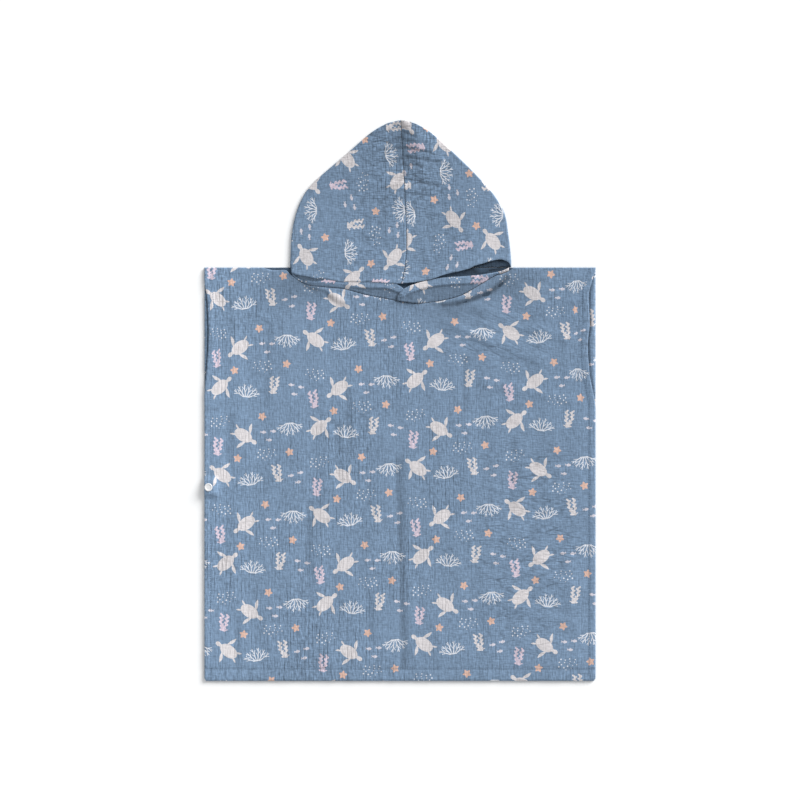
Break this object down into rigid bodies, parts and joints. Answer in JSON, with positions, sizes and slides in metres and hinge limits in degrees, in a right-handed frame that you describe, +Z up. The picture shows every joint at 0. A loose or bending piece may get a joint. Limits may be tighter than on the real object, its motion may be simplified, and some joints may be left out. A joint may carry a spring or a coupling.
{
  "type": "hooded bath poncho",
  "caption": "Child's hooded bath poncho of crinkled double gauze, laid flat: wide square body, pointed hood spread above the neck, crossed cheeks and a side snap.",
  "frame": {"origin": "on the surface that the garment lies on, under the middle of its outline", "axes": "+X to the viewer's right across the garment, +Y from the hem to the hood's crown, +Z up out of the front"},
  "size_m": [0.6, 0.86, 0.0102],
  "materials": {
    "body_cloth": "crinkled cotton double gauze, dusty blue with a pale sea-life print",
    "hood_cloth": "crinkled cotton double gauze, dusty blue with a pale sea-life print",
    "snap_plastic": "white moulded plastic"
  },
  "bodies": {
    "root": {"body_back": "body_cloth", "body_front": "body_cloth", "hood_left": "hood_cloth", "hood_right": "hood_cloth", "hood_left_cheek": "hood_cloth", "hood_right_cheek": "hood_cloth", "snap_back_cap": "snap_plastic", "snap_stud": "snap_plastic", "snap_socket": "snap_plastic", "snap_front_cap": "snap_plastic"}
  },
  "joints": []
}
